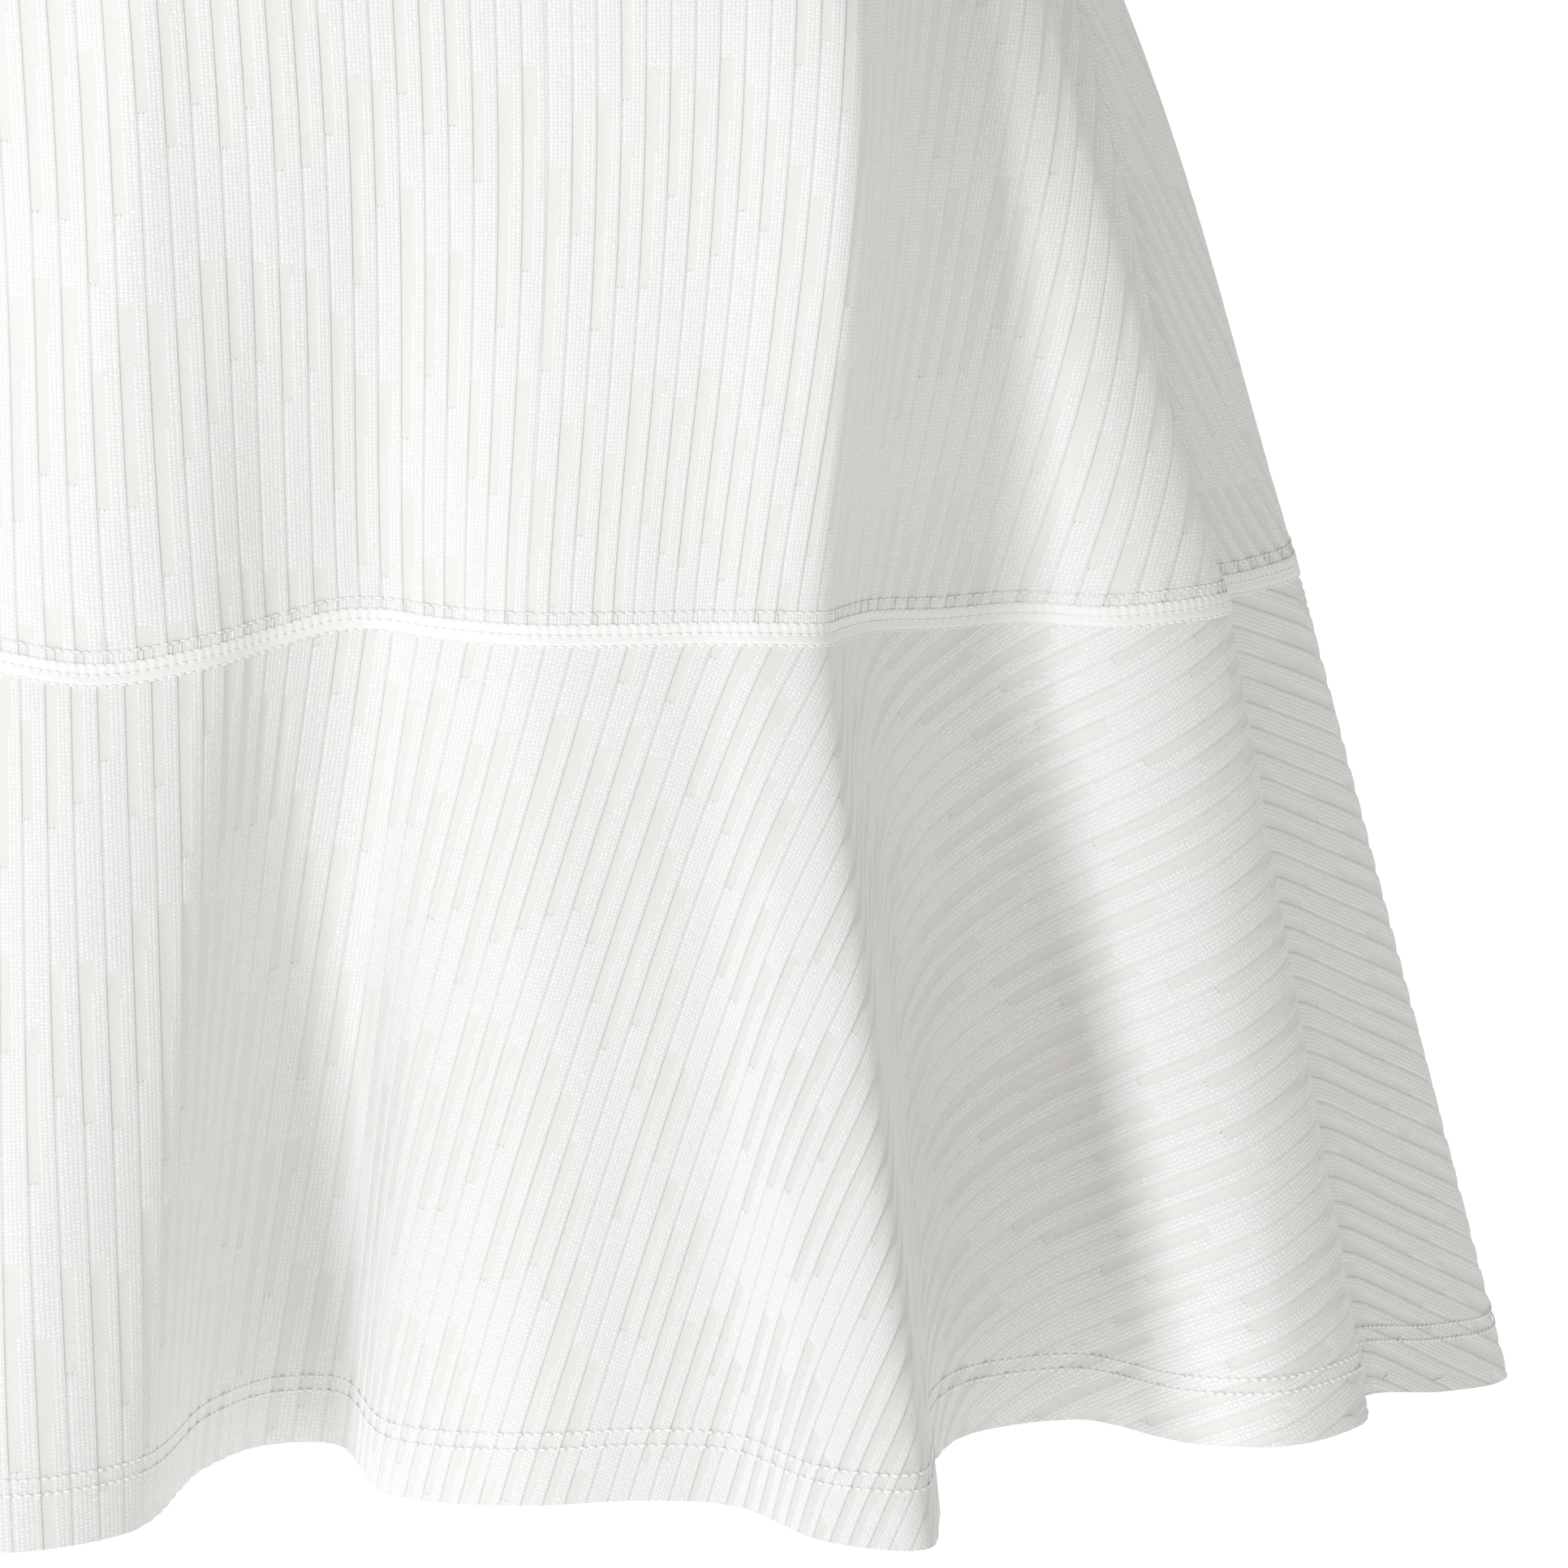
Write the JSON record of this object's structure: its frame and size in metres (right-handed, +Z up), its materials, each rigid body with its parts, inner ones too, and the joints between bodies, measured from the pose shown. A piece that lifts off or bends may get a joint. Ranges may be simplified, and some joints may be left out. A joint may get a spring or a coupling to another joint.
{
  "type": "tennis dress",
  "caption": "Sleeveless A-line tennis dress in white ribbed double knit with a circular-cut flounce, in its worn hollow shape.",
  "frame": {"origin": "midway between the two neck points of the shoulder seams, where the shoulders hold the dress", "axes": "+Z up, the front faces -Y, +X is the wearer's left"},
  "size_m": [0.6219, 0.3641, 0.8954],
  "materials": {
    "panel_knit": "matt white ribbed double knit",
    "flounce_knit": "matt white ribbed double knit",
    "band_knit": "matt white fine knit"
  },
  "bodies": {
    "root": {"front_panel": "panel_knit", "back_panel": "panel_knit", "front_flounce": "flounce_knit", "back_flounce": "flounce_knit", "neck_band": "band_knit", "armhole_band_left": "band_knit", "armhole_band_right": "band_knit"}
  },
  "joints": []
}
